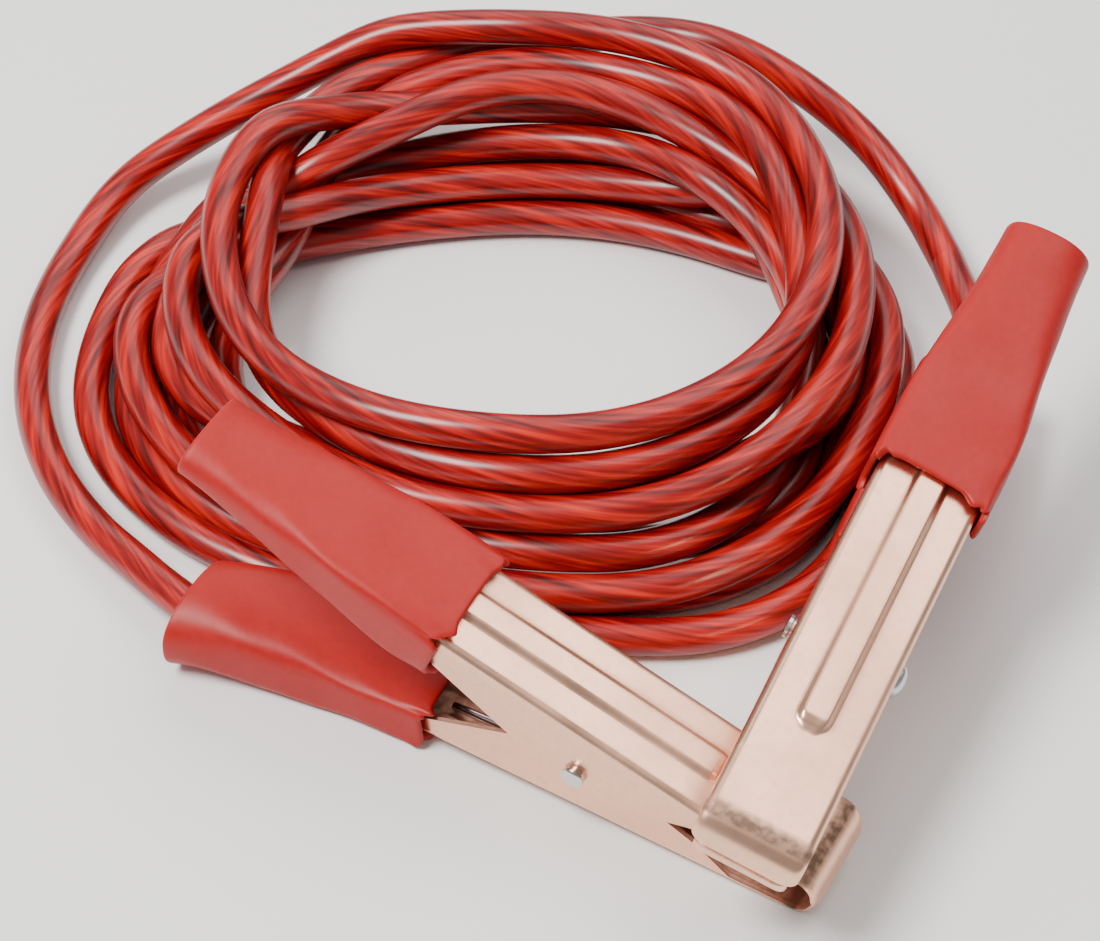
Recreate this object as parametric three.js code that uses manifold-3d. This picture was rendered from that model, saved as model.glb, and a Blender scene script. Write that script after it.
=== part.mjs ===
// A car jumper cable: one coiled red cable with a sprung crocodile clamp on each end.
// Millimetres, +Z up, the floor at z = 0, the origin under the middle of the two clamps.
import * as THREE from 'three';
import { mergeVertices } from 'three/addons/utils/BufferGeometryUtils.js';
import Module from 'manifold-3d';

const wasm = await Module();
wasm.setup();

// Sheet jaws: s runs along the back plate towards the tip, h from the plate's outer face inwards.
const plateWidth = 22;
const sheet = 1.0;
const cornerRadius = 1.9;
const nestGap = 0.35;
const pivotHeight = 13.5;
const jawAngle = THREE.MathUtils.degToRad(15.2);
const handleLength = 76;
const handleEndScale = 0.72;
const plateLength = 46.3;
const bendRadius = 6;
const bendAngle = THREE.MathUtils.degToRad(65);
const tipFace = 2.7;
const tipCorner = 2.2;

// Side walls of a jaw, as distances from the pivot and heights over the plate.
const backNotch = 13.4;
const frontNotch = 17.4;
const earRadius = 8.5;
const wallReach = 34;
const wallRim = 1.7;
const wallMid = { s: 23.7, h: 6.9 };
const gripEdge = 35.4;
const upperHandleWall = 8.5;
const lowerHandleWall = 5.6;
const handleEndWall = 3.4;

// Stiffening bead pressed outwards along the middle of each plate.
const beadWidth = 4.6;
const beadSlope = 1.5;
const beadHeight = 1.1;
const beadEnd = 22;
const beadFade = 5;

// Rivet and torsion spring.
const rivetRadius = 2.0;
const rivetClearance = 0.3;
const headRadius = 3.6;
const headHeight = 2.1;
const peenHeight = 1.7;
const wireRadius = 0.9;
const springRadius = 4.2;
const springTurns = 4;
const springPitch = 2.15;
const springReach = 33;

// Soft sleeves over the handles.
const gripWall = 1.4;
const gripEnd = 96.5;
const gripSlack = 0.6;
const gripHeadroom = 2.0;
const gripSides = 20;
const gripSteps = 9;
const lowerEnd = { halfWidth: 10.9, halfHeight: 7.6, drop: 2.0 };
const upperEnd = { halfWidth: 8.6, halfHeight: 3.4, drop: 0 };
const slippedEnd = { halfWidth: 7.9, halfHeight: 5.2, drop: 0, extra: 4.5 };
const gripSquareness = { jaw: 8, end: 2.4 };
const leftSway = 12;

// The left clamp lies on the floor. The right one lies across its upper jaw.
const leftTilt = THREE.MathUtils.degToRad(1.94);
const leftYaw = THREE.MathUtils.degToRad(-29.25);
const rightPivot = new THREE.Vector3(47.06, 8.21, 30.3);
const rightTurn = new THREE.Euler(
  THREE.MathUtils.degToRad(-13.76), THREE.MathUtils.degToRad(-6.58), THREE.MathUtils.degToRad(-112.76), 'ZYX');

// Cable, and the coil that it is wound into: a leaning stack of oval turns.
const cableRadius = 4.1;
const cableSides = 8;
const coilCentre = { x: -19, y: 98 };
const coilInner = { x: 57, y: 53 };
const coilOuter = { x: 95, y: 74 };
const coilHeight = 38;
const coilLean = 1.0;
const coilDents = [{ angle: -2.2, spread: 0.55, depth: 0.17 }, { angle: -0.4, spread: 0.5, depth: 0.13 }];
const coilGap = 0.3;
const coilSides = 48;

const red = { color: 0xb3201c, roughness: 0.28, metalness: 0 };
const gripRed = { color: 0xc9423a, roughness: 0.5, metalness: 0 };
const copper = { color: 0xd9a386, roughness: 0.34, metalness: 1 };
const zinc = { color: 0xc9ccd0, roughness: 0.3, metalness: 1 };

function toSolid(geometry) {
  const bare = geometry.clone();
  bare.deleteAttribute('normal');
  bare.deleteAttribute('uv');
  const merged = mergeVertices(bare, 1e-4);
  const vertProperties = new Float32Array(merged.attributes.position.array);
  const triVerts = new Uint32Array(merged.index.array);
  return new wasm.Manifold(new wasm.Mesh({ numProp: 3, vertProperties, triVerts }));
}

function toGeometry(solid) {
  const mesh = solid.getMesh();
  const geometry = new THREE.BufferGeometry();
  geometry.setAttribute('position', new THREE.BufferAttribute(new Float32Array(mesh.vertProperties), 3));
  geometry.setIndex(new THREE.BufferAttribute(new Uint32Array(mesh.triVerts), 1));
  geometry.computeVertexNormals();
  return geometry;
}

function shapeOf(points) {
  return new THREE.Shape(points.map(([x, y]) => new THREE.Vector2(x, y)));
}

// Extrudes an outline drawn in (y, z) along x, from one place to another.
function alongX(shape, from, to, steps) {
  const geometry = new THREE.ExtrudeGeometry(shape, { depth: to - from, steps, bevelEnabled: false });
  const turn = new THREE.Matrix4().makeBasis(
    new THREE.Vector3(0, 1, 0), new THREE.Vector3(0, 0, 1), new THREE.Vector3(1, 0, 0));
  return geometry.applyMatrix4(turn).translate(from, 0, 0);
}

// Extrudes an outline drawn in (x, z) across y, centred on y = 0.
function acrossY(shape, width) {
  const geometry = new THREE.ExtrudeGeometry(shape, { depth: width, steps: 1, bevelEnabled: false });
  const turn = new THREE.Matrix4().makeBasis(
    new THREE.Vector3(1, 0, 0), new THREE.Vector3(0, 0, 1), new THREE.Vector3(0, -1, 0));
  return geometry.applyMatrix4(turn).translate(0, width / 2, 0);
}

function moveVertices(geometry, change) {
  const position = geometry.attributes.position;
  const point = new THREE.Vector3();
  for (let i = 0; i < position.count; i += 1) {
    point.fromBufferAttribute(position, i);
    change(point);
    position.setXYZ(i, point.x, point.y, point.z);
  }
  return geometry;
}

function arcPoints(centre, radius, from, to, count) {
  return Array.from({ length: count + 1 }, (unused, i) => {
    const angle = from + (to - from) * i / count;
    return [centre[0] + radius * Math.cos(angle), centre[1] + radius * Math.sin(angle)];
  });
}

// Half of the channel's outer outline, offset inwards by a depth, from the middle of the plate to the wall's top.
function channelSide(width, depth, top) {
  const side = width / 2 - depth;
  const radius = cornerRadius - depth;
  const bead = beadWidth / 2;
  return [
    [bead, depth - beadHeight],
    [bead + beadSlope, depth],
    ...arcPoints([width / 2 - cornerRadius, cornerRadius], radius, -Math.PI / 2, 0, 3),
    [side, top],
  ];
}

function channelShape(width, top) {
  const outer = channelSide(width, 0, top);
  const inner = channelSide(width, sheet, top).reverse();
  const right = [...outer, ...inner];
  const left = right.map(([y, h]) => [-y, h]).reverse();
  return shapeOf([...right, ...left]);
}

// Handles narrow towards their ends, and the left clamp's lower one is pushed sideways by the coil.
function handlePart(s) {
  return THREE.MathUtils.clamp((-s - gripEdge) / (handleLength - gripEdge), 0, 1);
}

function swayAt(s, sway) {
  const part = Math.max(0, (-s - gripEdge) / (gripEnd - gripEdge));
  return -sway * part * part;
}

// The side view of a jaw: what its channel is cut to.
function sideOutline(handleWall, midWall) {
  const half = jawAngle / 2;
  const front = [frontNotch * Math.cos(half), pivotHeight - frontNotch * Math.sin(half)];
  const back = [-backNotch * Math.cos(half), pivotHeight + backNotch * Math.sin(half)];
  const ear = arcPoints([0, pivotHeight], earRadius, Math.PI * 0.14, Math.PI * 0.86, 12);
  return shapeOf([
    [-handleLength - 1, -beadHeight - 1],
    [plateLength + 1, -beadHeight - 1],
    [plateLength + 1, wallRim],
    [wallReach, wallRim],
    [midWall.s, midWall.h],
    front,
    ...ear,
    back,
    [-gripEdge, handleWall],
    [-handleLength - 1, handleEndWall],
  ]);
}

// The bent tip: a strip that follows the plate, the bend and the tip face.
function tipOutline() {
  const centre = [plateLength, bendRadius];
  const outer = arcPoints(centre, bendRadius, -Math.PI / 2, -Math.PI / 2 + bendAngle, 8);
  const inner = arcPoints(centre, bendRadius - sheet, -Math.PI / 2 + bendAngle, -Math.PI / 2, 8);
  const along = [Math.cos(bendAngle), Math.sin(bendAngle)];
  const last = outer[outer.length - 1];
  const first = inner[0];
  return shapeOf([
    [plateLength - 1, 0],
    ...outer,
    [last[0] + along[0] * tipFace, last[1] + along[1] * tipFace],
    [first[0] + along[0] * tipFace, first[1] + along[1] * tipFace],
    ...inner,
    [plateLength - 1, sheet],
  ]);
}

function tipPlan(width) {
  const reach = plateLength + bendRadius + tipFace;
  const half = width / 2;
  const right = arcPoints([reach - 1.6, half - tipCorner], tipCorner, 0, Math.PI / 2, 5);
  const left = arcPoints([reach - 1.6, tipCorner - half], tipCorner, -Math.PI / 2, 0, 5);
  const plan = shapeOf([[0, -half], ...left, ...right, [0, half]]);
  const geometry = new THREE.ExtrudeGeometry(plan, { depth: 30, bevelEnabled: false });
  return toSolid(geometry.translate(0, 0, -5));
}

function jawSolid({ width, handleWall, midWall, sway }) {
  const steps = 20;
  const channel = alongX(channelShape(width, pivotHeight + earRadius + 2), -handleLength, plateLength, steps);
  moveVertices(channel, (p) => {
    const fade = THREE.MathUtils.smoothstep(p.x, beadEnd - beadFade, beadEnd);
    const inBead = Math.abs(p.y) < beadWidth / 2 + 0.01;
    p.z += inBead ? beadHeight * fade : 0;
    p.y *= 1 - (1 - handleEndScale) * handlePart(p.x);
    p.y += swayAt(p.x, sway);
  });
  const side = toSolid(acrossY(sideOutline(handleWall, midWall), 4 * plateWidth));
  const tip = toSolid(acrossY(tipOutline(), width)).intersect(tipPlan(width));
  const bore = new THREE.CylinderGeometry(
    rivetRadius + rivetClearance, rivetRadius + rivetClearance, 2 * plateWidth, 12);
  return toSolid(channel).intersect(side).add(tip)
    .subtract(toSolid(bore.translate(0, 0, pivotHeight)));
}

// A sleeve is a ring extruded along the handle, and each step of it gets its own width, height and squareness.
function gripGeometry({ width, wall, end, sway }) {
  const ring = new THREE.Shape();
  ring.absarc(0, 0, 1, 0, Math.PI * 2, false);
  const hole = new THREE.Path();
  hole.absarc(0, 0, 0.5, 0, Math.PI * 2, true);
  ring.holes.push(hole);
  const length = gripEnd + (end.extra ?? 0) - gripEdge;
  const geometry = new THREE.ExtrudeGeometry(
    ring, { depth: length, steps: gripSteps, curveSegments: gripSides / 2, bevelEnabled: false });
  geometry.applyMatrix4(new THREE.Matrix4().makeBasis(
    new THREE.Vector3(0, 1, 0), new THREE.Vector3(0, 0, 1), new THREE.Vector3(1, 0, 0)));
  geometry.translate(-gripEdge - length, 0, 0);
  const jaw = { halfWidth: width / 2 + gripSlack, halfHeight: (wall + beadHeight + gripHeadroom) / 2 };
  const lift = -beadHeight - 0.35;
  return moveVertices(geometry, (p) => {
    const t = THREE.MathUtils.clamp((-p.x - gripEdge) / length, 0, 1);
    const ease = THREE.MathUtils.smoothstep(t, 0.1, 1);
    const outside = Math.hypot(p.y, p.z) > 0.75 ? gripWall : 0;
    const halfWidth = THREE.MathUtils.lerp(jaw.halfWidth, end.halfWidth, ease) + outside;
    const halfHeight = THREE.MathUtils.lerp(jaw.halfHeight, end.halfHeight, ease);
    const power = 2 / THREE.MathUtils.lerp(gripSquareness.jaw, gripSquareness.end, ease);
    const angle = Math.atan2(p.z, p.y);
    const middle = lift + halfHeight - end.drop * t;
    p.y = Math.sign(Math.cos(angle)) * Math.abs(Math.cos(angle)) ** power * halfWidth;
    p.z = Math.sign(Math.sin(angle)) * Math.abs(Math.sin(angle)) ** power * (halfHeight + outside) + middle;
    p.y += swayAt(p.x, sway);
  });
}

function rivetGeometry() {
  const seat = plateWidth / 2 + rivetClearance;
  const profile = [
    [0, -seat - peenHeight],
    [rivetRadius * 0.8, -seat - peenHeight],
    [rivetRadius * 1.1, -seat - peenHeight * 0.7],
    [rivetRadius, -seat - peenHeight * 0.4],
    [rivetRadius, seat],
    [headRadius, seat],
    ...arcPoints([0, seat], 1, 0, Math.PI / 2, 5).map(([c, s]) => [c * headRadius, seat + (s - seat) * headHeight]),
  ].map(([r, y]) => new THREE.Vector2(Math.max(0, r), y));
  return new THREE.LatheGeometry(profile, 12);
}

// The spring's wire: a leg along the lower jaw's bead, turns round the rivet, a leg along the upper jaw's bead.
function springPoints() {
  const depth = pivotHeight - (sheet - beadHeight + wireRadius + 0.35);
  const low = new THREE.Vector2(-springReach, -depth);
  const high = new THREE.Vector2(
    -springReach * Math.cos(jawAngle) + depth * Math.sin(jawAngle),
    springReach * Math.sin(jawAngle) + depth * Math.cos(jawAngle));
  const lowSlope = Math.atan2(-low.y, -low.x) - Math.asin(springRadius / low.length());
  const highSlope = Math.atan2(high.y, high.x) + Math.asin(springRadius / high.length());
  const from = lowSlope - Math.PI / 2;
  const to = highSlope - Math.PI / 2 + springTurns * Math.PI * 2;
  const sweep = to - from;
  const width = springPitch * sweep / (Math.PI * 2);
  const points = [new THREE.Vector3(low.x, -1, low.y)];
  const count = springTurns * 12;
  for (let i = 0; i <= count; i += 1) {
    const angle = from + sweep * i / count;
    const y = width * (i / count - 0.5);
    points.push(new THREE.Vector3(springRadius * Math.cos(angle), y, springRadius * Math.sin(angle)));
  }
  points.push(new THREE.Vector3(high.x, 1, high.y));
  const half = (a, b) => a.clone().lerp(b, 0.5);
  points.splice(1, 0, half(points[0], points[1]));
  points.splice(points.length - 1, 0, half(points[points.length - 2], points[points.length - 1]));
  return points;
}

function wireShape(radius, sides) {
  return shapeOf(Array.from({ length: sides }, (unused, i) => {
    const angle = Math.PI * 2 * i / sides;
    return [radius * Math.cos(angle), radius * Math.sin(angle)];
  }));
}

function tubeGeometry(points, radius, sides, steps) {
  const path = new THREE.CatmullRomCurve3(points, false, 'centripetal');
  return new THREE.ExtrudeGeometry(wireShape(radius, sides), { steps, extrudePath: path, bevelEnabled: false });
}

function named(name, geometry, finish) {
  const mesh = new THREE.Mesh(geometry, new THREE.MeshStandardMaterial(finish));
  mesh.name = name;
  return mesh;
}

// One clamp in its own frame, with the rivet's axis on y through the origin.
function clamp(name, { sway, upperGrip }) {
  const group = new THREE.Group();
  const narrow = plateWidth - 2 * (sheet + nestGap);
  const lowerJaw = toGeometry(jawSolid({
    width: narrow, handleWall: lowerHandleWall, midWall: { s: wallMid.s + 3, h: wallMid.h }, sway,
  })).translate(0, 0, -pivotHeight);
  const lowerGrip = gripGeometry({
    width: narrow, wall: lowerHandleWall, end: lowerEnd, sway,
  }).translate(0, 0, -pivotHeight);
  const upperJaw = toGeometry(jawSolid({
    width: plateWidth, handleWall: upperHandleWall, midWall: wallMid, sway: 0,
  })).translate(0, 0, -pivotHeight);
  const upperGripShape = gripGeometry({
    width: plateWidth, wall: upperHandleWall, end: upperGrip, sway: 0,
  }).translate(0, 0, -pivotHeight);
  const upper = new THREE.Group();
  upper.rotation.set(Math.PI, jawAngle, 0, 'YXZ');
  upper.add(named(`${name}_upper_jaw`, upperJaw, copper));
  upper.add(named(`${name}_upper_grip`, upperGripShape, gripRed));
  group.add(named(`${name}_lower_jaw`, lowerJaw, copper));
  group.add(named(`${name}_lower_grip`, lowerGrip, gripRed));
  group.add(named(`${name}_rivet`, rivetGeometry(), zinc));
  group.add(named(`${name}_spring`, tubeGeometry(springPoints(), wireRadius, 6, 62), zinc));
  group.add(upper);
  return group;
}

// A ring whose section spans the coil's turns; each level is shifted back as the stack leans, and the turns
// give way where each clamp's handle lies against them.
function coilGeometry(grow) {
  const section = [
    [1 + grow, 0],
    [1 + grow, coilHeight * 0.45],
    [0.72 + grow, coilHeight + grow],
    [0.12 - grow, coilHeight + grow],
    [-grow, coilHeight * 0.6],
    [-grow, 0],
    [1 + grow, 0],
  ];
  const profile = section.map(([u, z]) => new THREE.Vector2(u + 2, z));
  const geometry = new THREE.LatheGeometry(profile, coilSides);
  geometry.rotateX(Math.PI / 2);
  return moveVertices(geometry, (p) => {
    const u = Math.hypot(p.x, p.y) - 2;
    const angle = Math.atan2(p.y, p.x);
    const dent = 1 - u * coilDents.reduce(
      (sum, d) => sum + d.depth * Math.exp(-(((angle - d.angle) / d.spread) ** 2)), 0);
    p.x = coilCentre.x + dent * THREE.MathUtils.lerp(coilInner.x, coilOuter.x, u) * Math.cos(angle);
    p.y = coilCentre.y + dent * THREE.MathUtils.lerp(coilInner.y, coilOuter.y, u) * Math.sin(angle) + coilLean * p.z;
  });
}

function point(x, y, z) {
  return new THREE.Vector3(x, y, z);
}

// The cable's free stretches, from inside the coil out to the end of each lower sleeve.
const leadLeft = [
  point(-48, 200, 30), point(-70, 195, 24), point(-92, 183, 15), point(-109, 166, 8), point(-120, 145, 4.6),
  point(-125.5, 122, 4.3), point(-125, 98, 4.3), point(-118, 77, 4.3), point(-108, 60, 5.2),
  point(-98.5, 47.5, 7.8),
];
const leadRight = [
  point(32, 186, 31), point(50, 179, 24), point(65, 168.5, 16), point(75, 155, 9.5), point(81, 139, 7.5),
  point(84.5, 122, 8.2), point(86.2, 109, 10.6),
];

const scene = new THREE.Group();
const left = clamp('clamp_a', { sway: leftSway, upperGrip: upperEnd });
const tipFloor = (plateLength + 1.7) * Math.sin(leftTilt) + pivotHeight * Math.cos(leftTilt);
left.position.set(0, 0, tipFloor);
left.rotation.set(0, leftTilt, leftYaw, 'ZYX');
const right = clamp('clamp_b', { sway: 0, upperGrip: slippedEnd });
right.position.copy(rightPivot);
right.rotation.copy(rightTurn);

const coil = toSolid(coilGeometry(0));
const coilRoom = toSolid(coilGeometry(coilGap / 18)).add(
  toSolid(coilGeometry(coilGap / 18).translate(0, 0, coilGap)));
const leadTube = (points) => toSolid(tubeGeometry(points, cableRadius, cableSides, 36)).subtract(coilRoom);

const body = new THREE.Group();
body.add(left, right);
body.updateMatrixWorld(true);
const clampBox = new THREE.Box3().setFromObject(body, true);
const middle = clampBox.getCenter(new THREE.Vector3());

body.add(named('cable_coil', toGeometry(coil), red));
body.add(named('cable_lead_a', toGeometry(leadTube(leadLeft)), red));
body.add(named('cable_lead_b', toGeometry(leadTube(leadRight)), red));
body.position.set(-middle.x, -middle.y, -clampBox.min.z);
scene.add(body);

export default scene;
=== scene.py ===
import math
import bmesh
import bpy
import numpy as np
from mathutils import Matrix
from mathutils.bvhtree import BVHTree


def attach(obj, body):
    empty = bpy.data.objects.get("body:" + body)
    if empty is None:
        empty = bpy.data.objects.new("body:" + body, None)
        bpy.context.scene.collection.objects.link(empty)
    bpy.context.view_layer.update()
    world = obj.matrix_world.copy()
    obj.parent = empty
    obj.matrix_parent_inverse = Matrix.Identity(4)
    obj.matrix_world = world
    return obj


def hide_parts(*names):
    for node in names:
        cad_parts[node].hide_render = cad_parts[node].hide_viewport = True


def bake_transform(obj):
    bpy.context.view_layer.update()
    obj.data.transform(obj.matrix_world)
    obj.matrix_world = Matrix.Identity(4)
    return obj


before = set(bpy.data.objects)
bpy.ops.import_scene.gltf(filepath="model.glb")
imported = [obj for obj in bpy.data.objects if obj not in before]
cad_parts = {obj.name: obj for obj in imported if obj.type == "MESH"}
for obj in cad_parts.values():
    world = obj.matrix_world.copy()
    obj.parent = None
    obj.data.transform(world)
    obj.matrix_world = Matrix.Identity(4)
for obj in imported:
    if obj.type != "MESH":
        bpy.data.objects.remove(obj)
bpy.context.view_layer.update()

# Lengths in the dictionaries are millimetres and angles are degrees, unless a comment says otherwise.
# Blender's objects are in metres.
millimetre = 0.001

# Values that the solid model shares: where each clamp's rivet is, and how each clamp is turned.
shared = {
    "coilShift": (-2.4645, -28.302, 0.025),
    "pivotHeight": 13.5,
    "jawAngle": 15.2,
    "clampA": {"pivot": (-2.4645, -28.302, 15.1422), "turn": (0.0, 1.94, -29.25)},
    "clampB": {"pivot": (44.5955, -20.092, 30.325), "turn": (-13.76, -6.58, -112.76)},
}

# Camera: fitted to both clamps and the floor in the photograph.
camera = {"eye": (-12.65, -379.09, 496.35), "pitch": 41.10, "lens": 98.51, "sensor": 36, "nearest": 10}

lens = bpy.data.cameras.new("camera")
lens.lens = camera["lens"]
lens.sensor_width = camera["sensor"]
lens.clip_start = camera["nearest"] * millimetre
lens.dof.use_dof = False
eye = bpy.data.objects.new("camera", lens)
eye.location = [value * millimetre for value in camera["eye"]]
eye.rotation_euler = (math.radians(camera["pitch"]), 0, 0)
bpy.context.collection.objects.link(eye)
bpy.context.scene.camera = eye
print("camera set")


# Meshes from whole arrays.
def smoothStep(value, low, high):
    part = np.clip((np.asarray(value, dtype=float) - low) / (high - low), 0, 1)
    return part * part * (3 - 2 * part)


def gridFaces(rows, columns, closeColumns, closeRows=False):
    row, column = np.meshgrid(
        np.arange(rows if closeRows else rows - 1),
        np.arange(columns if closeColumns else columns - 1), indexing="ij")
    nextRow = (row + 1) % rows
    nextColumn = (column + 1) % columns
    corners = [row * columns + column, row * columns + nextColumn,
               nextRow * columns + nextColumn, nextRow * columns + column]
    return np.stack(corners, axis=-1).reshape(-1, 4)


def addPiece(name, points, faces, material, body, nodes=(), corners=None, values=None, sharp=40):
    mesh = bpy.data.meshes.new(name)
    mesh.from_pydata(np.asarray(points) * millimetre, [], faces)
    if corners is not None:
        layer = mesh.uv_layers.new(name="strand")
        flat = np.zeros((len(mesh.loops), 2), dtype=np.float32)
        flat[:len(corners)] = corners
        layer.data.foreach_set("uv", flat.ravel())
    for label, column in (values or {}).items():
        field = mesh.attributes.new(label, "FLOAT", "POINT")
        field.data.foreach_set("value", np.asarray(column, dtype=np.float32).ravel())
    work = bmesh.new()
    work.from_mesh(mesh)
    bmesh.ops.recalc_face_normals(work, faces=work.faces)
    work.to_mesh(mesh)
    work.free()
    mesh.polygons.foreach_set("use_smooth", np.ones(len(mesh.polygons), dtype=bool))
    mesh.set_sharp_from_angle(angle=math.radians(sharp))
    mesh.materials.append(material)
    piece = bpy.data.objects.new(name, mesh)
    bpy.context.collection.objects.link(piece)
    if body:
        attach(piece, body)
    if nodes:
        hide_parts(*nodes)
    return piece


# Distance of each point along a path.
def distanceAlong(path):
    return np.concatenate([[0], np.cumsum(np.linalg.norm(np.diff(path, axis=0), axis=1))])


# A point every step along a smooth curve. Between each pair of points runs a cubic, whose slopes are the
# differences of the points over their distance along the curve. It is drawn finely first, then evenly.
def evenPath(points, step, finer=4):
    points = np.asarray(points, dtype=float)
    along = distanceAlong(points)
    slope = np.gradient(points, along, axis=0)
    at = np.linspace(0, along[-1], max(2, int(round(along[-1] / (step / finer))) + 1))
    left = np.clip(np.searchsorted(along, at, side="right") - 1, 0, len(along) - 2)
    span = (along[left + 1] - along[left])[:, None]
    t = (at - along[left])[:, None] / span
    dense = ((2 * t ** 3 - 3 * t ** 2 + 1) * points[left] + (t ** 3 - 2 * t ** 2 + t) * span * slope[left]
             + (3 * t ** 2 - 2 * t ** 3) * points[left + 1] + (t ** 3 - t ** 2) * span * slope[left + 1])
    along = distanceAlong(dense)
    at = np.linspace(0, along[-1], max(2, int(round(along[-1] / step)) + 1))
    return np.stack([np.interp(at, along, dense[:, axis]) for axis in range(3)], axis=1)


# A tube: each ring is the path's point plus the radius times the cosine of the angle sideways and its sine
# upwards, both at right angles to the path.
def tubeMesh(path, radius, sides, start=0.0, reference=(0, 0, 1)):
    ahead = np.gradient(path, axis=0)
    ahead /= np.linalg.norm(ahead, axis=1)[:, None]
    side = np.cross(ahead, np.array(reference, dtype=float))
    side /= np.linalg.norm(side, axis=1)[:, None]
    over = np.cross(side, ahead)
    angle = np.linspace(0, 2 * np.pi, sides, endpoint=False) - np.pi / 2
    ring = np.cos(angle)[None, :, None] * side[:, None, :] + np.sin(angle)[None, :, None] * over[:, None, :]
    points = (path[:, None, :] + radius * ring).reshape(-1, 3)
    count = len(path)
    faces = gridFaces(count, sides, True)
    along = start + distanceAlong(path)
    row, column = np.meshgrid(np.arange(count - 1), np.arange(sides), indexing="ij")
    u = np.stack([along[row], along[row], along[row + 1], along[row + 1]], axis=-1) * millimetre
    v = np.stack([column, column + 1, column + 1, column], axis=-1) / sides
    corners = np.stack([u, v], axis=-1).reshape(-1, 2)
    caps = [list(range(sides))[::-1], list(range((count - 1) * sides, count * sides))]
    return points, faces.tolist() + caps, corners, along[-1]


def turnMatrix(turn, pivot):
    x, y, z = (Matrix.Rotation(math.radians(value), 4, axis) for value, axis in zip(turn, "XYZ"))
    return np.array(Matrix.Translation(pivot) @ z @ y @ x)


def moved(points, matrix):
    return np.asarray(points) @ matrix[:3, :3].T + matrix[:3, 3]


# Shader helpers. Shared effects are node groups.
def newGroup(name, inputs, outputs):
    group = bpy.data.node_groups.new(name, "ShaderNodeTree")
    for label, value in inputs:
        group.interface.new_socket(label, in_out="INPUT", socket_type="NodeSocketFloat").default_value = value
    for label in outputs:
        group.interface.new_socket(label, in_out="OUTPUT", socket_type="NodeSocketFloat")
    return group, group.nodes.new("NodeGroupInput"), group.nodes.new("NodeGroupOutput")


def addNode(tree, kind, **values):
    node = tree.nodes.new(kind)
    for label, value in values.items():
        if hasattr(node, label):
            setattr(node, label, value)
        else:
            node.inputs[label.replace("_", " ")].default_value = value
    return node


def mathNode(tree, operation, *inputs):
    node = tree.nodes.new("ShaderNodeMath")
    node.operation = operation
    for socket, value in zip(node.inputs, inputs):
        if isinstance(value, (int, float)):
            socket.default_value = value
        else:
            tree.links.new(value, socket)
    return node.outputs[0]


def mapNode(tree, value, low, high, toLow, toHigh):
    node = tree.nodes.new("ShaderNodeMapRange")
    for socket, entry in zip(node.inputs, (value, low, high, toLow, toHigh)):
        if isinstance(entry, (int, float)):
            socket.default_value = entry
        else:
            tree.links.new(entry, socket)
    return node.outputs[0]


def mixColours(tree, factor, first, second):
    node = tree.nodes.new("ShaderNodeMix")
    node.data_type = "RGBA"
    for label, entry in (("Factor_Float", factor), ("A_Color", first), ("B_Color", second)):
        socket = next(item for item in node.inputs if item.identifier == label)
        if isinstance(entry, tuple):
            socket.default_value = (*entry, 1)
        elif isinstance(entry, float):
            socket.default_value = entry
        else:
            tree.links.new(entry, socket)
    return next(item for item in node.outputs if item.identifier == "Result_Color")


def noiseNode(tree, vector, scale, detail):
    node = tree.nodes.new("ShaderNodeTexNoise")
    tree.links.new(vector, node.inputs["Vector"])
    if isinstance(scale, (int, float)):
        node.inputs["Scale"].default_value = scale
    else:
        tree.links.new(scale, node.inputs["Scale"])
    node.inputs["Detail"].default_value = detail
    return node.outputs[0]


# Uneven wear: soft patches between a low and a high roughness, and a fine grain from 0 to 1.
wearValues = {"patchDetail": 3, "patchFrom": 0.35, "patchTo": 0.65, "grainScale": 14.0, "grainDetail": 5}


def makeWearGroup(values):
    group, given, result = newGroup(
        "surfaceWear", (("Scale", 60.0), ("Low", 0.3), ("High", 0.5)), ("Roughness", "Grain"))
    place = group.nodes.new("ShaderNodeTexCoord").outputs["Object"]
    scale, low, high = (given.outputs[label] for label in ("Scale", "Low", "High"))
    patches = noiseNode(group, place, scale, values["patchDetail"])
    grainScale = mathNode(group, "MULTIPLY", scale, values["grainScale"])
    fine = noiseNode(group, place, grainScale, values["grainDetail"])
    rough = mapNode(group, patches, values["patchFrom"], values["patchTo"], low, high)
    group.links.new(rough, result.inputs["Roughness"])
    group.links.new(fine, result.inputs["Grain"])
    return group


# Twisted strands: streaks of noise over two coordinates. One is the distance along the cable times the
# stretch. The other is the part of the way round plus the distance times the twist, all times the fineness.
def makeStrandGroup():
    group, given, result = newGroup(
        "twistedStrands",
        (("Along", 0.0), ("Around", 0.0), ("Twist", 8.0), ("Fineness", 9.0), ("Stretch", 30.0)), ("Streak",))
    along, around, twist, fineness, stretch = (
        given.outputs[label] for label in ("Along", "Around", "Twist", "Fineness", "Stretch"))
    spiral = mathNode(group, "MULTIPLY_ADD", along, twist, around)
    place = group.nodes.new("ShaderNodeCombineXYZ")
    group.links.new(mathNode(group, "MULTIPLY", along, stretch), place.inputs["X"])
    group.links.new(mathNode(group, "MULTIPLY", spiral, fineness), place.inputs["Y"])
    group.links.new(noiseNode(group, place.outputs[0], 1.0, 2), result.inputs["Streak"])
    return group


wearGroup = makeWearGroup(wearValues)
strandGroup = makeStrandGroup()


def groupNode(tree, group, values):
    node = tree.nodes.new("ShaderNodeGroup")
    node.node_tree = group
    for label, value in values.items():
        if isinstance(value, (int, float)):
            node.inputs[label].default_value = value
        else:
            tree.links.new(value, node.inputs[label])
    return node


def newMaterial(name):
    material = bpy.data.materials.new(name)
    material.use_nodes = True
    tree = material.node_tree
    tree.nodes.clear()
    output = tree.nodes.new("ShaderNodeOutputMaterial")
    shader = tree.nodes.new("ShaderNodeBsdfPrincipled")
    tree.links.new(shader.outputs["BSDF"], output.inputs["Surface"])
    return material, tree, shader


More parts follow.
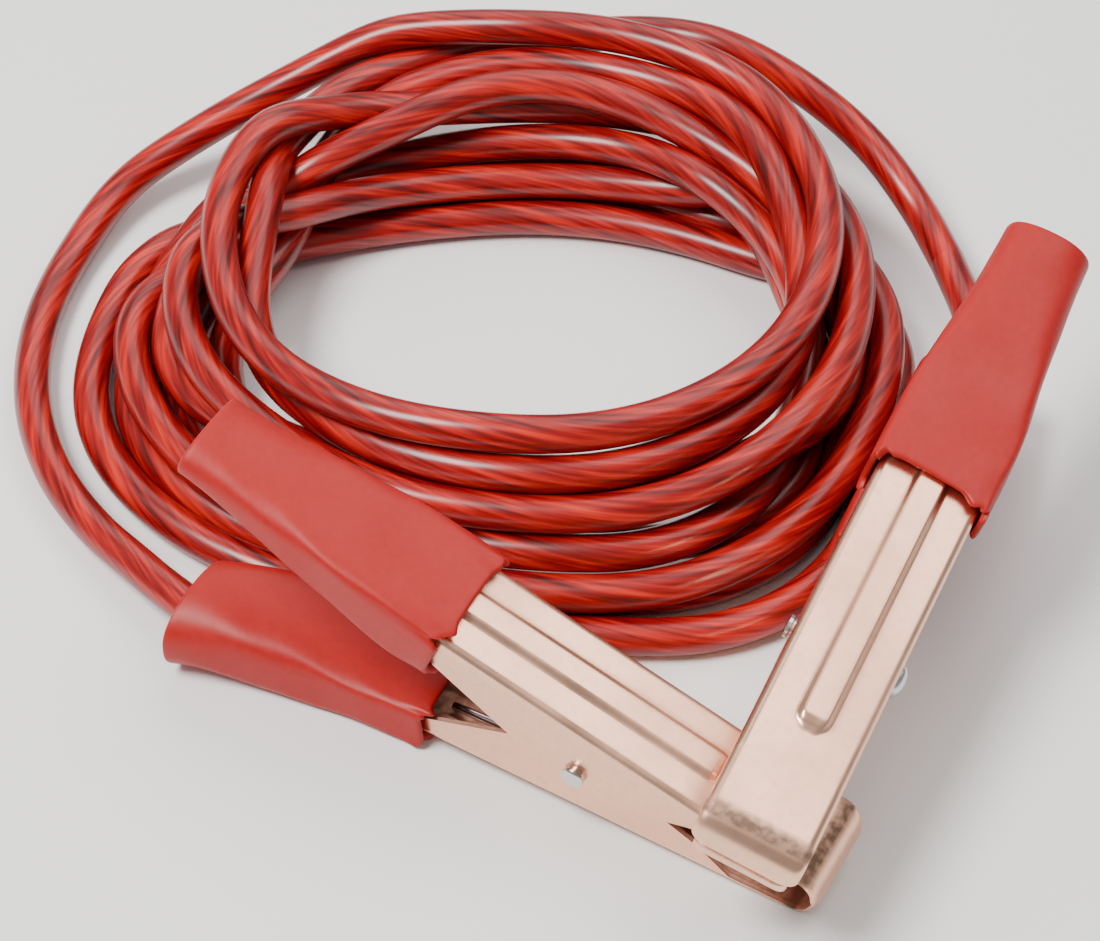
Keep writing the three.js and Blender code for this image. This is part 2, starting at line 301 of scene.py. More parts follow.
def addBump(tree, shader, height, look):
    bump = addNode(tree, "ShaderNodeBump", Strength=look["bump"], Distance=look["bumpDepth"] * millimetre)
    tree.links.new(height, bump.inputs["Height"])
    tree.links.new(bump.outputs[0], shader.inputs["Normal"])


# In the looks, a range is (from low, from high, to low, to high), as a Map Range node takes it.
# Cable sheath: clear red plastic over twisted copper, with painted shade that darkens it towards its edges as
# the camera sees them.
sheathLook = {
    "dark": (0.07, 0.001, 0.001), "middle": (0.28, 0.003, 0.003), "bright": (0.6, 0.02, 0.008),
    "middleRange": (0.36, 0.5, 0.0, 1.0), "brightRange": (0.5, 0.66, 0.0, 1.0),
    # The edge colour is painted shade, laid over the strands where the surface turns away from the camera.
    "edge": (0.14, 0.001, 0.002), "rimShadeBlend": 0.42, "rimShadeRange": (0.25, 0.95, 0.0, 0.85),
    "twist": 9.0, "streaks": ((9.0, 30.0), (26.0, 70.0)),
    "roughness": 0.34, "specular": 0.35, "coat": 0.3, "coatRoughness": 0.2,
}


def makeSheath(look):
    material, tree, shader = newMaterial("sheath")
    parts = tree.nodes.new("ShaderNodeSeparateXYZ")
    tree.links.new(addNode(tree, "ShaderNodeUVMap", uv_map="strand").outputs[0], parts.inputs[0])
    streaks = [groupNode(tree, strandGroup, {
        "Along": parts.outputs["X"], "Around": parts.outputs["Y"], "Twist": look["twist"],
        "Fineness": fineness, "Stretch": stretch}).outputs["Streak"] for fineness, stretch in look["streaks"]]
    level = mathNode(tree, "MULTIPLY", mathNode(tree, "ADD", *streaks), 1 / len(streaks))
    low = mixColours(tree, mapNode(tree, level, *look["middleRange"]), look["dark"], look["middle"])
    colour = mixColours(tree, mapNode(tree, level, *look["brightRange"]), low, look["bright"])
    # Painted shade: towards the outline, as seen from the camera, the colour darkens to the edge colour.
    facing = addNode(tree, "ShaderNodeLayerWeight", Blend=look["rimShadeBlend"]).outputs["Facing"]
    colour = mixColours(tree, mapNode(tree, facing, *look["rimShadeRange"]), colour, look["edge"])
    tree.links.new(colour, shader.inputs["Base Color"])
    shader.inputs["Roughness"].default_value = look["roughness"]
    shader.inputs["Specular IOR Level"].default_value = look["specular"]
    shader.inputs["Coat Weight"].default_value = look["coat"]
    shader.inputs["Coat Roughness"].default_value = look["coatRoughness"]
    return material


# Sleeves: satin red soft plastic with a faint skin, which lets a little light through.
gripLook = {
    "base": (0.4, 0.007, 0.006), "dull": (0.31, 0.005, 0.004), "dullRange": (0.3, 0.75, 0.0, 0.6),
    "wearScale": 45.0, "low": 0.38, "high": 0.52, "specular": 0.35, "bump": 0.08, "bumpDepth": 0.3,
    "glow": 0.12, "glowRadius": (1.0, 0.25, 0.15), "glowDepth": 2.0,
}


def makeGrip(look):
    material, tree, shader = newMaterial("grip")
    wear = groupNode(tree, wearGroup, {"Scale": look["wearScale"], "Low": look["low"], "High": look["high"]})
    grain = wear.outputs["Grain"]
    colour = mixColours(tree, mapNode(tree, grain, *look["dullRange"]), look["base"], look["dull"])
    tree.links.new(colour, shader.inputs["Base Color"])
    tree.links.new(wear.outputs["Roughness"], shader.inputs["Roughness"])
    addBump(tree, shader, grain, look)
    shader.inputs["Subsurface Weight"].default_value = look["glow"]
    shader.inputs["Subsurface Radius"].default_value = look["glowRadius"]
    shader.inputs["Subsurface Scale"].default_value = look["glowDepth"] * millimetre
    shader.inputs["Specular IOR Level"].default_value = look["specular"]
    return material


# Jaws: copper-coloured plating on sheet steel, rusty inside the mouth, with painted shade as a grainy dark band
# round the tip's bend.
# Along the jaw, the painted shade band comes up over bendRise from bendFrom and goes over bendFall from bendTo.
jawLook = {
    "base": (0.93, 0.54, 0.38), "dull": (0.74, 0.42, 0.29), "dullRange": (0.45, 0.8, 0.0, 0.5),
    # The bend colour is painted shade.
    "bend": (0.17, 0.1, 0.065), "bendShadeRange": (0.3, 0.6, 0.5, 1.0), "bendShadeMost": 0.95,
    "bendFrom": 45.0, "bendRise": 2.0, "bendTo": 48.8, "bendFall": 1.0,
    "rust": (0.3, 0.11, 0.07), "rustRange": (0.3, 0.7, 0.4, 0.9), "rustAndBendShadeRoughness": 0.28, "rustAndBendShadeMetal": 0.55,
    "wearScale": 38.0, "low": 0.24, "high": 0.42, "bump": 0.06, "bumpDepth": 0.2,
}


def makeJaw(look):
    material, tree, shader = newMaterial("jaw")
    wear = groupNode(tree, wearGroup, {"Scale": look["wearScale"], "Low": look["low"], "High": look["high"]})
    grain = wear.outputs["Grain"]
    along = addNode(tree, "ShaderNodeAttribute", attribute_name="along").outputs["Fac"]
    inside = addNode(tree, "ShaderNodeAttribute", attribute_name="inside").outputs["Fac"]
    colour = mixColours(tree, mapNode(tree, grain, *look["dullRange"]), look["base"], look["dull"])
    bendFrom, bendRise, bendTo, bendFall = (
        look[label] * millimetre for label in ("bendFrom", "bendRise", "bendTo", "bendFall"))
    rise = mapNode(tree, along, bendFrom, bendFrom + bendRise, 0.0, 1.0)
    fall = mapNode(tree, along, bendTo, bendTo + bendFall, 1.0, 0.0)
    paintedBendShade = mathNode(tree, "MULTIPLY", rise, fall)
    paintedBendShade = mathNode(tree, "MULTIPLY", paintedBendShade, mapNode(tree, grain, *look["bendShadeRange"]))
    # Painted shade: the bend colour darkens the plating in a grainy band round the tip's bend.
    colour = mixColours(tree, mathNode(tree, "MULTIPLY", paintedBendShade, look["bendShadeMost"]), colour, look["bend"])
    rust = mathNode(tree, "MULTIPLY", inside, mapNode(tree, grain, *look["rustRange"]))
    colour = mixColours(tree, rust, colour, look["rust"])
    # The rust inside and the painted bend shade both make the surface rougher and less metallic.
    rustAndBendShade = mathNode(tree, "MAXIMUM", paintedBendShade, inside)
    rough = mathNode(tree, "MULTIPLY_ADD", rustAndBendShade, look["rustAndBendShadeRoughness"], wear.outputs["Roughness"])
    tree.links.new(colour, shader.inputs["Base Color"])
    tree.links.new(rough, shader.inputs["Roughness"])
    tree.links.new(mapNode(tree, rustAndBendShade, 0.0, 1.0, 1.0, look["rustAndBendShadeMetal"]), shader.inputs["Metallic"])
    addBump(tree, shader, grain, look)
    return material


# Rivets and springs: bright zinc.
zincLook = {"colour": (0.62, 0.62, 0.63), "wearScale": 90.0, "low": 0.18, "high": 0.34}


def makeZinc(look):
    material, tree, shader = newMaterial("zinc")
    wear = groupNode(tree, wearGroup, {"Scale": look["wearScale"], "Low": look["low"], "High": look["high"]})
    tree.links.new(wear.outputs["Roughness"], shader.inputs["Roughness"])
    shader.inputs["Base Color"].default_value = (*look["colour"], 1)
    shader.inputs["Metallic"].default_value = 1
    return material


sheath = makeSheath(sheathLook)
grip = makeGrip(gripLook)
jaw = makeJaw(jawLook)
zinc = makeZinc(zincLook)
print("materials made")


# Cable: one length from clamp A's lower sleeve to just short of clamp B's, and the end that goes into that
# one, which bends when clamp A opens. Each turn passes four stations, back, right, front and left, and the
# coil leans back, so the higher turns lie further from the camera. The two lengths are in metres.
cable = {
    "radius": 4.1, "sides": 24, "step": 2.4, "length": 4.25, "endLength": 0.055,
    "mouthA": (-82.4, 36.5, 8.0), "mouthB": (81.7, 96.5, 10.2),
    "leadA": [(-72, 33.4, 8.4), (-81.5, 36, 8.0), (-89.5, 42.6, 7.2), (-97, 50.5, 6.2), (-107, 61.5, 5.0),
              (-117.5, 77.5, 4.4), (-124.5, 98, 4.3), (-125.5, 122, 4.3), (-120, 145, 4.6), (-109, 165, 8),
              (-92, 176.5, 13.5), (-70, 186, 20), (-48, 190.5, 27)],
    "back": [(188.3, 34), (176.1, 22.1), (163.9, 10.1), (157.8, 4.1), (167, 4.1), (174.5, 9), (175, 30),
             (170, 16.1), (182.2, 28.1), (196, 26)],
    "right": [(50, 30), (57, 22), (63, 12.5), (68.5, 4.1), (60, 4.1), (51.8, 4.6), (56, 12.5), (49, 13.5),
              (46.2, 22)],
    "front": [(60, 34, -16), (50.8, 22, -6), (40.5, 10.1, 4), (33, 4.1, 14), (43, 4.1, 8), (53, 11, 0),
              (58, 19.5, 0), (45.8, 16.1, -2), (55.4, 28.1, -12)],
    "left": [(-83, 28), (-92, 21), (-102, 12.5), (-111, 4.1), (-102.5, 4.1), (-93.5, 4.6), (-94.5, 12.6),
             (-84, 11.8), (-76.5, 20)],
    "leadB": [(32, 186, 31), (50, 179, 24), (65, 168.5, 16), (75, 155, 9.5), (81, 139, 7.5)],
    "endB": [(81, 139, 7.5), (84.5, 122, 8.2), (85.6, 109, 9.4), (81.7, 96.5, 10.2), (77.4, 86, 11.6)],
    "middleX": -14, "middleY": 98, "quarterPoints": 14,
}


# Back and front stations are at a distance and a height, and a front one also at a place sideways. Side
# stations are at a place sideways and a height, and lie as far back as they are high.
def coilStations(values):
    middleX, middleY = values["middleX"], values["middleY"]
    stations = []
    for back, right, front, left in zip(values["back"], values["right"], values["front"], values["left"]):
        stations.append(("back", (middleX, *back)))
        stations.append(("side", (right[0], middleY + right[1], right[1])))
        stations.append(("front", (front[2], front[0], front[1])))
        stations.append(("side", (left[0], middleY + left[1], left[1])))
    return stations + [("back", (middleX, *values["back"][-1]))]


# A quarter of an ellipse between each pair of stations: across, the distance still to go shrinks as the
# cosine of the angle, and the distance gained grows as its sine. The height eases from one to the other.
def coilPath(values):
    stations = coilStations(values)
    angle = np.linspace(0, np.pi / 2, values["quarterPoints"] + 1)[:-1]
    late, early, rise = 1 - np.cos(angle), np.sin(angle), smoothStep(angle, 0, np.pi / 2)
    pieces = []
    for (kind, first), (unused, second) in zip(stations[:-1], stations[1:]):
        shares = (late, early, rise) if kind == "side" else (early, late, rise)
        pieces.append(np.stack([a + (b - a) * share for a, b, share in zip(first, second, shares)], axis=1))
    return np.concatenate(pieces + [[stations[-1][1]]])


def obstacleTrees(names):
    trees = []
    for name in names:
        node = bpy.data.objects[name]
        points = [node.matrix_world @ vertex.co / millimetre for vertex in node.data.vertices]
        trees.append(BVHTree.FromPolygons(points, [list(face.vertices) for face in node.data.polygons]))
    return trees


# Settles the turns: wherever two stretches are nearer than a diameter and the gap, each point moves by a
# share of what is missing, and a point in a clamp or nearer to it than the clampGap moves outwards. The moves
# are smoothed along the cable, so it stays even. Counted in points, held ones at each end stay, the next
# ones come free over the fade, and those nearby along the cable don't push each other.
settling = {
    "step": 4.0, "gap": 0.2, "rounds": 90, "share": 0.6, "held": 9, "fade": 6, "nearby": 7,
    "clampGap": 0.5, "clampSearch": 14, "clampPush": 1.0,
}


def settle(path, radius, values, trees):
    start = path.copy()
    apart = 2 * radius + values["gap"]
    clear = radius + values["clampGap"]
    index = np.arange(len(path))
    neighbours = np.abs(index[:, None] - index[None, :]) < values["nearby"]
    fromEnd = np.minimum(index, len(path) - 1 - index)
    free = np.clip((fromEnd - values["held"]) / values["fade"], 0, 1)[:, None]
    for turn in range(values["rounds"]):
        offset = path[:, None, :] - path[None, :, :]
        distance = np.where(neighbours, np.inf, np.linalg.norm(offset, axis=2))
        missing = np.clip(apart - distance, 0, None)
        push = (offset / distance[:, :, None] * missing[:, :, None]).sum(axis=1)
        push /= np.maximum(1, (missing > 0).sum(axis=1))[:, None]
        path = path + values["share"] * push * free
        for tree in trees:
            for spot in range(len(path)):
                place, normal, face, away = tree.find_nearest(path[spot], values["clampSearch"])
                if place is None:
                    continue
                outward = np.array(normal)
                short = clear - float((path[spot] - np.array(place)) @ outward)
                if away < clear or short > clear:
                    path[spot] += outward * min(short, values["clampPush"]) * free[spot]
        change = path - start
        smooth = change.copy()
        smooth[1:-1] = 0.5 * change[1:-1] + 0.25 * (change[:-2] + change[2:])
        path = start + smooth
        path[:, 2] = np.maximum(path[:, 2], radius)
    return path


shift = np.array(shared["coilShift"])
trees = obstacleTrees(["clamp_a_lower_grip", "clamp_a_lower_jaw", "clamp_b_lower_grip", "clamp_b_lower_jaw"])
rough = np.concatenate([cable["leadA"], coilPath(cable), cable["leadB"]]) + shift
rough[:, 2] = np.maximum(rough[:, 2], cable["radius"])
settled = settle(evenPath(rough, settling["step"]), cable["radius"], settling, trees)
cablePath = evenPath(settled, cable["step"])
points, faces, corners, cableLength = tubeMesh(cablePath, cable["radius"], cable["sides"])
cablePiece = addPiece("cable", points, faces, sheath, "root", ("cable_coil", "cable_lead_a"), corners)
print("cable wound, metres:", round(cableLength * millimetre, 3))

endPath = evenPath(np.array(cable["endB"]) + shift, cable["step"])
points, faces, corners, endLength = tubeMesh(endPath, cable["radius"], cable["sides"], cableLength)
endPiece = addPiece("cable_end_b", points, faces, sheath, None, ("cable_lead_b",), corners)
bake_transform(endPiece)
print("cable end into the right clamp, metres:", round((endLength - cableLength) * millimetre, 3))


# Jaws: a pressed channel. Along the jaw the plate runs straight, then round the tip's bend and a short
# face; across it, a wall, a rounded corner, the plate, and the bead pressed outwards along the middle.
jawShape = {
    "sheet": 1.0, "corner": 1.9, "handleLength": 76, "handleEndScale": 0.72, "plateLength": 46.3,
    "bendRadius": 6, "bendAngle": 65, "tipFace": 2.7, "tipCorner": 1.7, "backNotch": 13.4, "frontNotch": 17.4,
    "earRadius": 8.5, "earEdge": 0.14, "wallReach": 34, "wallRim": 1.7, "wallMid": (23.7, 6.9),
    "gripEdge": 35.4, "handleEndWall": 3.4, "beadHalf": 2.3, "beadSlope": 1.6, "beadHeight": 1.2,
    "beadEnd": 25, "beadRound": 4, "beadFade": 0.35, "beadTail": 0.02,
    "rows": 120, "earRows": 25, "bendRows": 16, "tipRows": 9,
}
jawKinds = {
    "upper": {"width": 22, "handleWall": 8.5, "midShift": 0},
    "lower": {"width": 19.3, "handleWall": 5.6, "midShift": 3},
}
sectionColumns = {"wall": 8, "corner": 7, "flat": 5, "slope": 7, "bead": 4}


# Height of the walls' rim along the jaw: straight lines between the handle's end, the sleeve's edge, the
# notch behind the ear, the ear's arc, the notch before it, the mouth and the low rim up to the tip. The
# second result is where the rim has its corners.
def wallTop(shape, kind, along):
    half = math.radians(shared["jawAngle"]) / 2
    pivot = shared["pivotHeight"]
    ear = np.linspace((1 - shape["earEdge"]) * np.pi, shape["earEdge"] * np.pi, shape["earRows"])
    s = [-shape["handleLength"] - 1, -shape["gripEdge"], -shape["backNotch"] * math.cos(half),
         *(shape["earRadius"] * np.cos(ear)), shape["frontNotch"] * math.cos(half),
         shape["wallMid"][0] + kind["midShift"], shape["wallReach"], shape["plateLength"],
         shape["plateLength"] + 5]
    h = [shape["handleEndWall"], kind["handleWall"], pivot + shape["backNotch"] * math.sin(half),
         *(pivot + shape["earRadius"] * np.sin(ear)), pivot - shape["frontNotch"] * math.sin(half),
         shape["wallMid"][1], shape["wallRim"], shape["wallRim"], shape["sheet"] + 0.01]
    return np.interp(along, s, h), np.array(s)


# Sideways bend of a handle: the sway times the square of the share of the way from edge to end.
def swayAt(along, edge, end, sway):
    return -sway * np.clip((-along - edge) / (end - edge), 0, None) ** 2


# Half of a cross-section, from a wall's rim to the middle of the bead. An inset of 0 gives the outer side,
# and an inset of the sheet's thickness gives the inner one.
def halfSection(shape, half, top, bead, beadHalf, inset):
    columns = []
    corner = np.minimum(shape["corner"], top)
    across = shape["corner"] - inset
    under = np.maximum(corner - inset, 0)
    flatFrom = half - shape["corner"]
    flatTo = beadHalf + shape["beadSlope"]
    for part in np.linspace(0, 1, sectionColumns["wall"])[:-1]:
        columns.append((half - inset, top + (corner - top) * part))
    for angle in np.linspace(0, np.pi / 2, sectionColumns["corner"])[:-1]:
        columns.append((flatFrom + across * math.cos(angle), inset + under * (1 - math.sin(angle))))
    for part in np.linspace(0, 1, sectionColumns["flat"])[:-1]:
        columns.append((flatFrom + (flatTo - flatFrom) * part, inset + 0 * half))
    for part in np.linspace(0, 1, sectionColumns["slope"])[:-1]:
        columns.append((flatTo - shape["beadSlope"] * part, inset - bead * float(smoothStep(part, 0, 1))))
    for part in np.linspace(0, 1, sectionColumns["bead"]):
        columns.append((beadHalf * (1 - part), inset - bead))
    return np.stack([np.stack(pair, axis=-1) for pair in columns], axis=1)


def jawMesh(shape, kind, sway, sleeveEnd):
    bend = shape["bendRadius"] * math.radians(shape["bendAngle"])
    reach = shape["plateLength"] + bend + shape["tipFace"]
    kinks = wallTop(shape, kind, np.zeros(1))[1]
    along = np.unique(np.round(np.concatenate([
        np.linspace(-shape["handleLength"], shape["plateLength"], shape["rows"]),
        kinks[(kinks > -shape["handleLength"]) & (kinks < shape["plateLength"])],
        np.linspace(shape["plateLength"], reach - shape["tipCorner"], shape["bendRows"]),
        reach - shape["tipCorner"] * (1 - np.sin(np.linspace(0, np.pi / 2, shape["tipRows"])))]), 3))
    top = wallTop(shape, kind, along)[0]
    handle = np.clip((-along - shape["gripEdge"]) / (shape["handleLength"] - shape["gripEdge"]), 0, 1)
    left = np.clip(shape["tipCorner"] - (reach - along), 0, shape["tipCorner"])
    rounding = shape["tipCorner"] - np.sqrt(np.maximum(shape["tipCorner"] ** 2 - left ** 2, 0))
    half = kind["width"] / 2 - rounding
    nearEnd = np.clip((along - shape["beadEnd"] + shape["beadRound"]) / shape["beadRound"], 0, 1)
    bead = shape["beadHeight"] * (1 - smoothStep(nearEnd, shape["beadFade"], 1))
    beadHalf = shape["beadHalf"] * np.sqrt(np.maximum(1 - nearEnd ** 2, shape["beadTail"]))
    outer = halfSection(shape, half, top, bead, beadHalf, 0.0)
    inner = halfSection(shape, half, top, bead, beadHalf, shape["sheet"])
    mirror = np.array([-1, 1])
    outer = np.concatenate([outer, outer[:, -2::-1] * mirror], axis=1)
    inner = np.concatenate([inner, inner[:, -2::-1] * mirror], axis=1)
    loop = np.concatenate([outer, inner[:, ::-1]], axis=1)
    turn = np.clip((along - shape["plateLength"]) / bend, 0, 1) * math.radians(shape["bendAngle"])
    past = np.clip(along - shape["plateLength"] - bend, 0, None)
    baseX = np.minimum(along, shape["plateLength"]) + shape["bendRadius"] * np.sin(turn) + past * np.cos(turn)
    baseZ = shape["bendRadius"] * (1 - np.cos(turn)) + past * np.sin(turn)
    scale = 1 - (1 - shape["handleEndScale"]) * handle
    y = loop[:, :, 0] * scale[:, None] + swayAt(along, shape["gripEdge"], sleeveEnd, sway)[:, None]
    x = baseX[:, None] - np.sin(turn)[:, None] * loop[:, :, 1]
    z = baseZ[:, None] + np.cos(turn)[:, None] * loop[:, :, 1]
    points = np.stack([x, y, z - shared["pivotHeight"]], axis=-1).reshape(-1, 3)
    columns = loop.shape[1]
    rows = len(along)
    faces = gridFaces(rows, columns, True).tolist()
    width = outer.shape[1]
    for first in (0, (rows - 1) * columns):
        faces += [[first + i, first + i + 1, first + columns - 2 - i, first + columns - 1 - i]
                  for i in range(width - 1)]
    insideFlag = np.tile(np.concatenate([np.zeros(width), np.ones(width)]), (rows, 1))
    values = {"along": np.repeat(along * millimetre, columns), "inside": insideFlag}
    return points, faces, values


# Sleeves: rings along the handle whose width and height ease from the jaw's end to the open end, with the
# corners of a squarish oval: the sine and cosine raised to a power. Low waves and a ruffled edge are added:
# each is a sine of a whole number of times the angle and of the share of the way along, moved by the seed.
sleeveShape = {
    "wall": 1.4, "end": 96.5, "slack": 0.6, "headroom": 2.0, "lift": -1.45, "lowest": 0.05,
    "sides": 96, "rows": 60, "lipRows": 6, "jawSquareness": 8, "endSquareness": 2.4,
    "wave": 0.28, "waveRise": 1.2, "waveFade": 0.12, "ruffle": 0.75, "ruffleReach": 0.07,
    "ragged": 2.2, "raggedPower": 12,
}
sleeveEnds = {
    "lower": {"halfWidth": 10.9, "halfHeight": 7.6, "drop": 2.0, "extra": 0, "seed": 0.4, "ruffle": 0.8},
    "pushed": {"halfWidth": 10.6, "halfHeight": 7.6, "drop": 1.8, "extra": -7, "seed": 0.4, "ruffle": 0.8},
    "upper": {"halfWidth": 8.6, "halfHeight": 3.4, "drop": 0, "extra": 0, "seed": 2.1, "ruffle": 1.0},
    "slipped": {"halfWidth": 7.9, "halfHeight": 5.2, "drop": 0, "extra": 4.5, "seed": 4.0, "ruffle": 0.35},
}


def sleeveMesh(shape, kind, end, sway):
    edge = jawShape["gripEdge"]
    length = shape["end"] + end["extra"] - edge
    rows, innerRows = shape["rows"], shape["rows"] // 2
    lip = np.linspace(0, np.pi, shape["lipRows"])[1:-1]
    part = np.concatenate([
        np.linspace(0, 1, rows), np.ones(len(lip)), np.linspace(1, 0, innerRows), np.zeros(len(lip))])
    out = np.concatenate([
        np.ones(rows), 0.5 + 0.5 * np.cos(lip), np.zeros(innerRows), 0.5 - 0.5 * np.cos(lip)])
    reach = 0.5 * shape["wall"] * np.concatenate([
        np.zeros(rows), np.sin(lip), np.zeros(innerRows), -np.sin(lip)])
    angle = np.linspace(0, 2 * np.pi, shape["sides"], endpoint=False)
    part, angle = np.meshgrid(part, angle, indexing="ij")
    out, reach = out[:, None], reach[:, None]
    seed = end["seed"]
    ease = smoothStep(part, 0.1, 1)
    waves = (np.sin(2 * angle + 5 * part + seed) * np.sin(7 * part + 2 * seed)
             + 0.6 * np.sin(3 * angle - 9 * part + 3 * seed) + 0.4 * np.sin(5 * angle + 19 * part + seed))
    ruffle = (np.exp(-part / shape["ruffleReach"]) * (0.5 + 0.5 * np.sin(9 * angle + 4 * seed))
              * (0.5 + 0.5 * np.sin(4 * angle + seed)))
    bulge = (shape["wave"] * (waves + shape["waveRise"]) * smoothStep(part, 0, shape["waveFade"]) * 0.5
             + shape["ruffle"] * end["ruffle"] * ruffle)
    firstWidth = kind["width"] / 2 + shape["slack"]
    firstHeight = (kind["handleWall"] + jawShape["beadHeight"] + shape["headroom"]) / 2
    halfWidth = firstWidth + (end["halfWidth"] - firstWidth) * ease + shape["wall"] * out + bulge
    halfHeight = firstHeight + (end["halfHeight"] - firstHeight) * ease
    power = 2 / (shape["jawSquareness"] + (shape["endSquareness"] - shape["jawSquareness"]) * ease)
    cosine, sine = np.cos(angle), np.sin(angle)
    raggedEdge = shape["ragged"] * (1 - part) ** shape["raggedPower"] * (
        0.5 * np.sin(2 * angle + seed) + 0.3 * np.sin(5 * angle + 2 * seed) + 0.2 * np.sin(11 * angle))
    x = -edge - length * part - reach - raggedEdge
    y = np.sign(cosine) * np.abs(cosine) ** power * halfWidth + swayAt(x, edge, shape["end"], sway)
    middle = shape["lift"] + halfHeight - end["drop"] * part
    z = np.sign(sine) * np.abs(sine) ** power * (halfHeight + shape["wall"] * out + bulge) + middle
    points = np.stack([x, y, z - shared["pivotHeight"]], axis=-1).reshape(-1, 3)
    return points, gridFaces(part.shape[0], shape["sides"], True, True).tolist()


# Rivets: a profile turned about the rivet's axis, with a peened end and a domed head. The peened end's
# profile is in shares of its radius and its height.
rivetShape = {
    "radius": 2.0, "seat": 11.3, "sides": 40, "peen": 1.4, "peenRadius": 2.4, "peenFoot": 0.05,
    "peenProfile": [(0.0, 1.0), (0.6, 1.0), (0.85, 0.93), (1.0, 0.7), (1.0, 0.25)],
    "head": 3.6, "headHeight": 2.1, "headEdge": 0.2, "headTaper": 0.96, "domeRows": 9,
}


def rivetMesh(shape):
    seat, peen, head, edge = shape["seat"], shape["peen"], shape["head"], shape["headEdge"]
    profile = [(shape["peenRadius"] * across, -seat - peen * high) for across, high in shape["peenProfile"]]
    profile += [(shape["radius"], -seat - peen * shape["peenFoot"]), (shape["radius"], seat),
                (head * shape["headTaper"], seat), (head, seat + edge)]
    for angle in np.linspace(0, np.pi / 2, shape["domeRows"])[1:-1]:
        profile.append((head * math.cos(angle), seat + edge + (shape["headHeight"] - edge) * math.sin(angle)))
    profile = np.array(profile + [(0.0, seat + shape["headHeight"])])
    angle = np.linspace(0, 2 * np.pi, shape["sides"], endpoint=False)
    ring = profile[1:-1]
    x = ring[:, :1] * np.cos(angle)
    z = ring[:, :1] * np.sin(angle)
    y = np.broadcast_to(ring[:, 1:], x.shape)
    points = np.stack([x, y, z], axis=-1).reshape(-1, 3)
    sides = shape["sides"]
    last = (len(ring) - 1) * sides
    faces = gridFaces(len(ring), sides, True).tolist()
    return points, faces + [list(range(sides))[::-1], list(range(last, last + sides))]


# Springs: a leg in the lower bead, turns round the rivet, and a leg in the upper bead. Each leg leaves the
# turns along their tangent.
springShape = {
    "wire": 0.9, "radius": 4.2, "turns": 4, "pitch": 2.15, "reach": 33, "sides": 14, "clearance": 0.35,
    "legShift": 1, "turnPoints": 24, "legPoints": 12, "step": 0.7,
}


def springPath(shape):
    bead = jawShape["sheet"] - jawShape["beadHeight"]
    depth = shared["pivotHeight"] - (bead + shape["wire"] + shape["clearance"])
    angle = math.radians(shared["jawAngle"])
    low = np.array([-shape["reach"], -depth])
    high = np.array([-shape["reach"] * math.cos(angle) + depth * math.sin(angle),
                     shape["reach"] * math.sin(angle) + depth * math.cos(angle)])
    lowSlope = math.atan2(-low[1], -low[0]) - math.asin(shape["radius"] / np.linalg.norm(low))
    highSlope = math.atan2(high[1], high[0]) + math.asin(shape["radius"] / np.linalg.norm(high))
    begin = lowSlope - math.pi / 2
    sweep = highSlope - math.pi / 2 + shape["turns"] * 2 * math.pi - begin
    part = np.linspace(0, 1, shape["turns"] * shape["turnPoints"] + 1)
    spin = begin + sweep * part
    width = shape["pitch"] * sweep / (2 * math.pi)
    coil = np.stack(
        [shape["radius"] * np.cos(spin), width * (part - 0.5), shape["radius"] * np.sin(spin)], axis=1)
    first = np.array([low[0], -shape["legShift"], low[1]])
    final = np.array([high[0], shape["legShift"], high[1]])
    leg = np.linspace(0, 1, shape["legPoints"], endpoint=False)[:, None]
    return np.concatenate([first + (coil[0] - first) * leg, coil, (final + (coil[-1] - final) * leg)[::-1]])


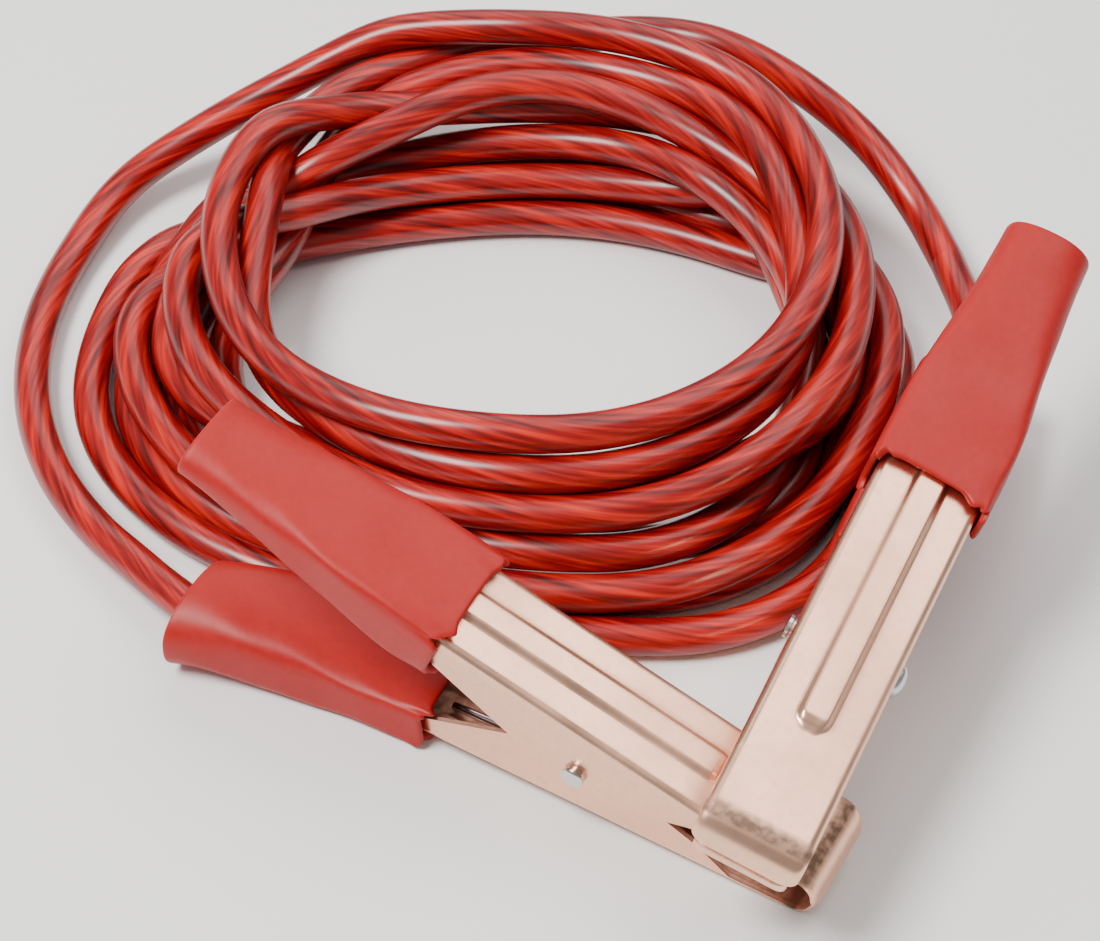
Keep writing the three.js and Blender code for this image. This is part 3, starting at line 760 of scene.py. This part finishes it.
# A clamp. The upper jaw is made like the lower one, turned over and opened by the jaw angle. Only the lower
# handle bends sideways, by the sway.
def addClamp(letter, sway, lowerEnd, upperEnd, lowerBody, upperBody):
    name = "clamp_" + letter
    lie = shared["clamp" + letter.upper()]
    place = turnMatrix(lie["turn"], lie["pivot"])
    flip = np.array(
        Matrix.Rotation(math.radians(shared["jawAngle"]), 4, "Y") @ Matrix.Rotation(math.pi, 4, "X"))
    for side, body, end, shove in (
            ("lower", lowerBody, lowerEnd, sway), ("upper", upperBody, upperEnd, 0)):
        matrix = place @ flip if side == "upper" else place
        points, faces, values = jawMesh(jawShape, jawKinds[side], shove, sleeveShape["end"])
        addPiece(f"{name}_{side}_jaw_sheet", moved(points, matrix), faces, jaw, body,
                 (f"{name}_{side}_jaw",), values=values)
        points, faces = sleeveMesh(sleeveShape, jawKinds[side], sleeveEnds[end], shove)
        points = moved(points, matrix)
        points[:, 2] = np.maximum(points[:, 2], sleeveShape["lowest"])
        addPiece(f"{name}_{side}_sleeve", points, faces, grip, body, (f"{name}_{side}_grip",))
    points, faces = rivetMesh(rivetShape)
    addPiece(f"{name}_rivet_turned", moved(points, place), faces, zinc, lowerBody, (f"{name}_rivet",))
    path = evenPath(springPath(springShape), springShape["step"])
    points, faces, *rest = tubeMesh(path, springShape["wire"], springShape["sides"], reference=(0, 1, 0.001))
    spring = addPiece(f"{name}_spring_wire", moved(points, place), faces, zinc, None, (f"{name}_spring",))
    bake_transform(spring)
    print(name, "made")


addClamp("a", 12, "pushed", "upper", "root", "clamp_a_upper")
addClamp("b", 0, "lower", "slipped", "clamp_a_upper", "clamp_b_upper")


# Floor and light, in metres.
studio = {
    "floorColour": (0.86, 0.86, 0.86), "floorRoughness": 0.8, "floorSize": 4.0, "floorZ": -0.0001,
    "world": (1.0, 0.99, 0.97), "worldStrength": 0.38,
    "key": {"place": (-0.45, -0.15, 0.9), "size": 0.4, "power": 15.0, "colour": (1.0, 0.98, 0.95)},
    "softbox": {"place": (0.42, 0.28, 0.88), "size": 0.8, "power": 5.0, "colour": (1.0, 0.98, 0.96)},
    "back": {"place": (-0.1, 0.75, 0.7), "size": 0.8, "power": 3.0, "colour": (1.0, 0.98, 0.96)},
}

floorMaterial, floorTree, floorShader = newMaterial("floor")
floorShader.inputs["Base Color"].default_value = (*studio["floorColour"], 1)
floorShader.inputs["Roughness"].default_value = studio["floorRoughness"]
reach = studio["floorSize"] / 2
floorMesh = bpy.data.meshes.new("floor")
floorMesh.from_pydata([(-reach, -reach, studio["floorZ"]), (reach, -reach, studio["floorZ"]),
                       (reach, reach, studio["floorZ"]), (-reach, reach, studio["floorZ"])], [], [(0, 1, 2, 3)])
floorMesh.materials.append(floorMaterial)
floor = bpy.data.objects.new("floor", floorMesh)
bpy.context.collection.objects.link(floor)

world = bpy.data.worlds.new("studio")
world.use_nodes = True
background = world.node_tree.nodes["Background"]
background.inputs["Color"].default_value = (*studio["world"], 1)
background.inputs["Strength"].default_value = studio["worldStrength"]
bpy.context.scene.world = world

for label in ("key", "softbox", "back"):
    light = bpy.data.lights.new(label, "AREA")
    light.shape = "DISK"
    light.size = studio[label]["size"]
    light.energy = studio[label]["power"]
    light.color = studio[label]["colour"]
    lamp = bpy.data.objects.new(label, light)
    lamp.location = studio[label]["place"]
    lamp.rotation_euler = (-lamp.location).to_track_quat("-Z", "Y").to_euler()
    bpy.context.collection.objects.link(lamp)
print("floor and light set")
